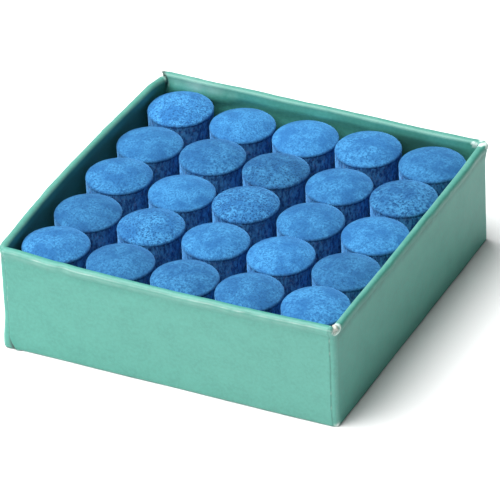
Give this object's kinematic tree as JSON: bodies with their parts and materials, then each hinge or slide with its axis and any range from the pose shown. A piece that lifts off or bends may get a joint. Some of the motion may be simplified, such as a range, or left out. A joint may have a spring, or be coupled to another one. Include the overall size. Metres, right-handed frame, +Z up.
{
  "type": "tray of glue-on billiard cue tips",
  "caption": "Shallow square paper-covered chipboard tray, open at the top, holding a two-layer grid of domed blue leather cue tips that lift out one by one.",
  "frame": {"origin": "middle of the tray's underside", "axes": "+Z up, out of the tray's open top; the front wall faces -Y and the right wall faces +X"},
  "size_m": [0.0532, 0.0532, 0.017],
  "materials": {
    "covering_paper": "satin",
    "chipboard": "matte",
    "stay_tape": "matte",
    "tip_leather": "matte"
  },
  "bodies": {
    "tray": {"board_blank": "chipboard", "wrap_sheet": "covering_paper", "corner_stay_front_left": "stay_tape", "corner_stay_front_right": "stay_tape", "corner_stay_back_left": "stay_tape", "corner_stay_back_right": "stay_tape"},
    "lower_tip_r1_c1": {"lower_tip_r1_c1": "tip_leather"},
    "upper_tip_r1_c1": {"upper_tip_r1_c1": "tip_leather"},
    "lower_tip_r1_c2": {"lower_tip_r1_c2": "tip_leather"},
    "upper_tip_r1_c2": {"upper_tip_r1_c2": "tip_leather"},
    "lower_tip_r1_c3": {"lower_tip_r1_c3": "tip_leather"},
    "upper_tip_r1_c3": {"upper_tip_r1_c3": "tip_leather"},
    "lower_tip_r1_c4": {"lower_tip_r1_c4": "tip_leather"},
    "upper_tip_r1_c4": {"upper_tip_r1_c4": "tip_leather"},
    "lower_tip_r1_c5": {"lower_tip_r1_c5": "tip_leather"},
    "upper_tip_r1_c5": {"upper_tip_r1_c5": "tip_leather"},
    "lower_tip_r2_c1": {"lower_tip_r2_c1": "tip_leather"},
    "upper_tip_r2_c1": {"upper_tip_r2_c1": "tip_leather"},
    "lower_tip_r2_c2": {"lower_tip_r2_c2": "tip_leather"},
    "upper_tip_r2_c2": {"upper_tip_r2_c2": "tip_leather"},
    "lower_tip_r2_c3": {"lower_tip_r2_c3": "tip_leather"},
    "upper_tip_r2_c3": {"upper_tip_r2_c3": "tip_leather"},
    "lower_tip_r2_c4": {"lower_tip_r2_c4": "tip_leather"},
    "upper_tip_r2_c4": {"upper_tip_r2_c4": "tip_leather"},
    "lower_tip_r2_c5": {"lower_tip_r2_c5": "tip_leather"},
    "upper_tip_r2_c5": {"upper_tip_r2_c5": "tip_leather"},
    "lower_tip_r3_c1": {"lower_tip_r3_c1": "tip_leather"},
    "upper_tip_r3_c1": {"upper_tip_r3_c1": "tip_leather"},
    "lower_tip_r3_c2": {"lower_tip_r3_c2": "tip_leather"},
    "upper_tip_r3_c2": {"upper_tip_r3_c2": "tip_leather"},
    "lower_tip_r3_c3": {"lower_tip_r3_c3": "tip_leather"},
    "upper_tip_r3_c3": {"upper_tip_r3_c3": "tip_leather"},
    "lower_tip_r3_c4": {"lower_tip_r3_c4": "tip_leather"},
    "upper_tip_r3_c4": {"upper_tip_r3_c4": "tip_leather"},
    "lower_tip_r3_c5": {"lower_tip_r3_c5": "tip_leather"},
    "upper_tip_r3_c5": {"upper_tip_r3_c5": "tip_leather"},
    "lower_tip_r4_c1": {"lower_tip_r4_c1": "tip_leather"},
    "upper_tip_r4_c1": {"upper_tip_r4_c1": "tip_leather"},
    "lower_tip_r4_c2": {"lower_tip_r4_c2": "tip_leather"},
    "upper_tip_r4_c2": {"upper_tip_r4_c2": "tip_leather"},
    "lower_tip_r4_c3": {"lower_tip_r4_c3": "tip_leather"},
    "upper_tip_r4_c3": {"upper_tip_r4_c3": "tip_leather"},
    "lower_tip_r4_c4": {"lower_tip_r4_c4": "tip_leather"},
    "upper_tip_r4_c4": {"upper_tip_r4_c4": "tip_leather"},
    "lower_tip_r4_c5": {"lower_tip_r4_c5": "tip_leather"},
    "upper_tip_r4_c5": {"upper_tip_r4_c5": "tip_leather"},
    "lower_tip_r5_c1": {"lower_tip_r5_c1": "tip_leather"},
    "upper_tip_r5_c1": {"upper_tip_r5_c1": "tip_leather"},
    "lower_tip_r5_c2": {"lower_tip_r5_c2": "tip_leather"},
    "upper_tip_r5_c2": {"upper_tip_r5_c2": "tip_leather"},
    "lower_tip_r5_c3": {"lower_tip_r5_c3": "tip_leather"},
    "upper_tip_r5_c3": {"upper_tip_r5_c3": "tip_leather"},
    "lower_tip_r5_c4": {"lower_tip_r5_c4": "tip_leather"},
    "upper_tip_r5_c4": {"upper_tip_r5_c4": "tip_leather"},
    "lower_tip_r5_c5": {"lower_tip_r5_c5": "tip_leather"},
    "upper_tip_r5_c5": {"upper_tip_r5_c5": "tip_leather"}
  },
  "joints": [
    {"name": "lift_upper_r1_c1", "type": "slide", "parent": "lower_tip_r1_c1", "child": "upper_tip_r1_c1", "axis": [0, 0, 1], "range_m": [0, 0.012]},
    {"name": "lift_lower_r1_c1", "type": "slide", "parent": "tray", "child": "lower_tip_r1_c1", "axis": [0, 0, 1], "range_m": [0, 0.02]},
    {"name": "lift_upper_r1_c2", "type": "slide", "parent": "lower_tip_r1_c2", "child": "upper_tip_r1_c2", "axis": [0, 0, 1], "range_m": [0, 0.012]},
    {"name": "lift_lower_r1_c2", "type": "slide", "parent": "tray", "child": "lower_tip_r1_c2", "axis": [0, 0, 1], "range_m": [0, 0.02]},
    {"name": "lift_upper_r1_c3", "type": "slide", "parent": "lower_tip_r1_c3", "child": "upper_tip_r1_c3", "axis": [0, 0, 1], "range_m": [0, 0.012]},
    {"name": "lift_lower_r1_c3", "type": "slide", "parent": "tray", "child": "lower_tip_r1_c3", "axis": [0, 0, 1], "range_m": [0, 0.02]},
    {"name": "lift_upper_r1_c4", "type": "slide", "parent": "lower_tip_r1_c4", "child": "upper_tip_r1_c4", "axis": [0, 0, 1], "range_m": [0, 0.012]},
    {"name": "lift_lower_r1_c4", "type": "slide", "parent": "tray", "child": "lower_tip_r1_c4", "axis": [0, 0, 1], "range_m": [0, 0.02]},
    {"name": "lift_upper_r1_c5", "type": "slide", "parent": "lower_tip_r1_c5", "child": "upper_tip_r1_c5", "axis": [0, 0, 1], "range_m": [0, 0.012]},
    {"name": "lift_lower_r1_c5", "type": "slide", "parent": "tray", "child": "lower_tip_r1_c5", "axis": [0, 0, 1], "range_m": [0, 0.02]},
    {"name": "lift_upper_r2_c1", "type": "slide", "parent": "lower_tip_r2_c1", "child": "upper_tip_r2_c1", "axis": [0, 0, 1], "range_m": [0, 0.012]},
    {"name": "lift_lower_r2_c1", "type": "slide", "parent": "tray", "child": "lower_tip_r2_c1", "axis": [0, 0, 1], "range_m": [0, 0.02]},
    {"name": "lift_upper_r2_c2", "type": "slide", "parent": "lower_tip_r2_c2", "child": "upper_tip_r2_c2", "axis": [0, 0, 1], "range_m": [0, 0.012]},
    {"name": "lift_lower_r2_c2", "type": "slide", "parent": "tray", "child": "lower_tip_r2_c2", "axis": [0, 0, 1], "range_m": [0, 0.02]},
    {"name": "lift_upper_r2_c3", "type": "slide", "parent": "lower_tip_r2_c3", "child": "upper_tip_r2_c3", "axis": [0, 0, 1], "range_m": [0, 0.012]},
    {"name": "lift_lower_r2_c3", "type": "slide", "parent": "tray", "child": "lower_tip_r2_c3", "axis": [0, 0, 1], "range_m": [0, 0.02]},
    {"name": "lift_upper_r2_c4", "type": "slide", "parent": "lower_tip_r2_c4", "child": "upper_tip_r2_c4", "axis": [0, 0, 1], "range_m": [0, 0.012]},
    {"name": "lift_lower_r2_c4", "type": "slide", "parent": "tray", "child": "lower_tip_r2_c4", "axis": [0, 0, 1], "range_m": [0, 0.02]},
    {"name": "lift_upper_r2_c5", "type": "slide", "parent": "lower_tip_r2_c5", "child": "upper_tip_r2_c5", "axis": [0, 0, 1], "range_m": [0, 0.012]},
    {"name": "lift_lower_r2_c5", "type": "slide", "parent": "tray", "child": "lower_tip_r2_c5", "axis": [0, 0, 1], "range_m": [0, 0.02]},
    {"name": "lift_upper_r3_c1", "type": "slide", "parent": "lower_tip_r3_c1", "child": "upper_tip_r3_c1", "axis": [0, 0, 1], "range_m": [0, 0.012]},
    {"name": "lift_lower_r3_c1", "type": "slide", "parent": "tray", "child": "lower_tip_r3_c1", "axis": [0, 0, 1], "range_m": [0, 0.02]},
    {"name": "lift_upper_r3_c2", "type": "slide", "parent": "lower_tip_r3_c2", "child": "upper_tip_r3_c2", "axis": [0, 0, 1], "range_m": [0, 0.012]},
    {"name": "lift_lower_r3_c2", "type": "slide", "parent": "tray", "child": "lower_tip_r3_c2", "axis": [0, 0, 1], "range_m": [0, 0.02]},
    {"name": "lift_upper_r3_c3", "type": "slide", "parent": "lower_tip_r3_c3", "child": "upper_tip_r3_c3", "axis": [0, 0, 1], "range_m": [0, 0.012]},
    {"name": "lift_lower_r3_c3", "type": "slide", "parent": "tray", "child": "lower_tip_r3_c3", "axis": [0, 0, 1], "range_m": [0, 0.02]},
    {"name": "lift_upper_r3_c4", "type": "slide", "parent": "lower_tip_r3_c4", "child": "upper_tip_r3_c4", "axis": [0, 0, 1], "range_m": [0, 0.012]},
    {"name": "lift_lower_r3_c4", "type": "slide", "parent": "tray", "child": "lower_tip_r3_c4", "axis": [0, 0, 1], "range_m": [0, 0.02]},
    {"name": "lift_upper_r3_c5", "type": "slide", "parent": "lower_tip_r3_c5", "child": "upper_tip_r3_c5", "axis": [0, 0, 1], "range_m": [0, 0.012]},
    {"name": "lift_lower_r3_c5", "type": "slide", "parent": "tray", "child": "lower_tip_r3_c5", "axis": [0, 0, 1], "range_m": [0, 0.02]},
    {"name": "lift_upper_r4_c1", "type": "slide", "parent": "lower_tip_r4_c1", "child": "upper_tip_r4_c1", "axis": [0, 0, 1], "range_m": [0, 0.012]},
    {"name": "lift_lower_r4_c1", "type": "slide", "parent": "tray", "child": "lower_tip_r4_c1", "axis": [0, 0, 1], "range_m": [0, 0.02]},
    {"name": "lift_upper_r4_c2", "type": "slide", "parent": "lower_tip_r4_c2", "child": "upper_tip_r4_c2", "axis": [0, 0, 1], "range_m": [0, 0.012]},
    {"name": "lift_lower_r4_c2", "type": "slide", "parent": "tray", "child": "lower_tip_r4_c2", "axis": [0, 0, 1], "range_m": [0, 0.02]},
    {"name": "lift_upper_r4_c3", "type": "slide", "parent": "lower_tip_r4_c3", "child": "upper_tip_r4_c3", "axis": [0, 0, 1], "range_m": [0, 0.012]},
    {"name": "lift_lower_r4_c3", "type": "slide", "parent": "tray", "child": "lower_tip_r4_c3", "axis": [0, 0, 1], "range_m": [0, 0.02]},
    {"name": "lift_upper_r4_c4", "type": "slide", "parent": "lower_tip_r4_c4", "child": "upper_tip_r4_c4", "axis": [0, 0, 1], "range_m": [0, 0.012]},
    {"name": "lift_lower_r4_c4", "type": "slide", "parent": "tray", "child": "lower_tip_r4_c4", "axis": [0, 0, 1], "range_m": [0, 0.02]},
    {"name": "lift_upper_r4_c5", "type": "slide", "parent": "lower_tip_r4_c5", "child": "upper_tip_r4_c5", "axis": [0, 0, 1], "range_m": [0, 0.012]},
    {"name": "lift_lower_r4_c5", "type": "slide", "parent": "tray", "child": "lower_tip_r4_c5", "axis": [0, 0, 1], "range_m": [0, 0.02]},
    {"name": "lift_upper_r5_c1", "type": "slide", "parent": "lower_tip_r5_c1", "child": "upper_tip_r5_c1", "axis": [0, 0, 1], "range_m": [0, 0.012]},
    {"name": "lift_lower_r5_c1", "type": "slide", "parent": "tray", "child": "lower_tip_r5_c1", "axis": [0, 0, 1], "range_m": [0, 0.02]},
    {"name": "lift_upper_r5_c2", "type": "slide", "parent": "lower_tip_r5_c2", "child": "upper_tip_r5_c2", "axis": [0, 0, 1], "range_m": [0, 0.012]},
    {"name": "lift_lower_r5_c2", "type": "slide", "parent": "tray", "child": "lower_tip_r5_c2", "axis": [0, 0, 1], "range_m": [0, 0.02]},
    {"name": "lift_upper_r5_c3", "type": "slide", "parent": "lower_tip_r5_c3", "child": "upper_tip_r5_c3", "axis": [0, 0, 1], "range_m": [0, 0.012]},
    {"name": "lift_lower_r5_c3", "type": "slide", "parent": "tray", "child": "lower_tip_r5_c3", "axis": [0, 0, 1], "range_m": [0, 0.02]},
    {"name": "lift_upper_r5_c4", "type": "slide", "parent": "lower_tip_r5_c4", "child": "upper_tip_r5_c4", "axis": [0, 0, 1], "range_m": [0, 0.012]},
    {"name": "lift_lower_r5_c4", "type": "slide", "parent": "tray", "child": "lower_tip_r5_c4", "axis": [0, 0, 1], "range_m": [0, 0.02]},
    {"name": "lift_upper_r5_c5", "type": "slide", "parent": "lower_tip_r5_c5", "child": "upper_tip_r5_c5", "axis": [0, 0, 1], "range_m": [0, 0.012]},
    {"name": "lift_lower_r5_c5", "type": "slide", "parent": "tray", "child": "lower_tip_r5_c5", "axis": [0, 0, 1], "range_m": [0, 0.02]}
  ]
}
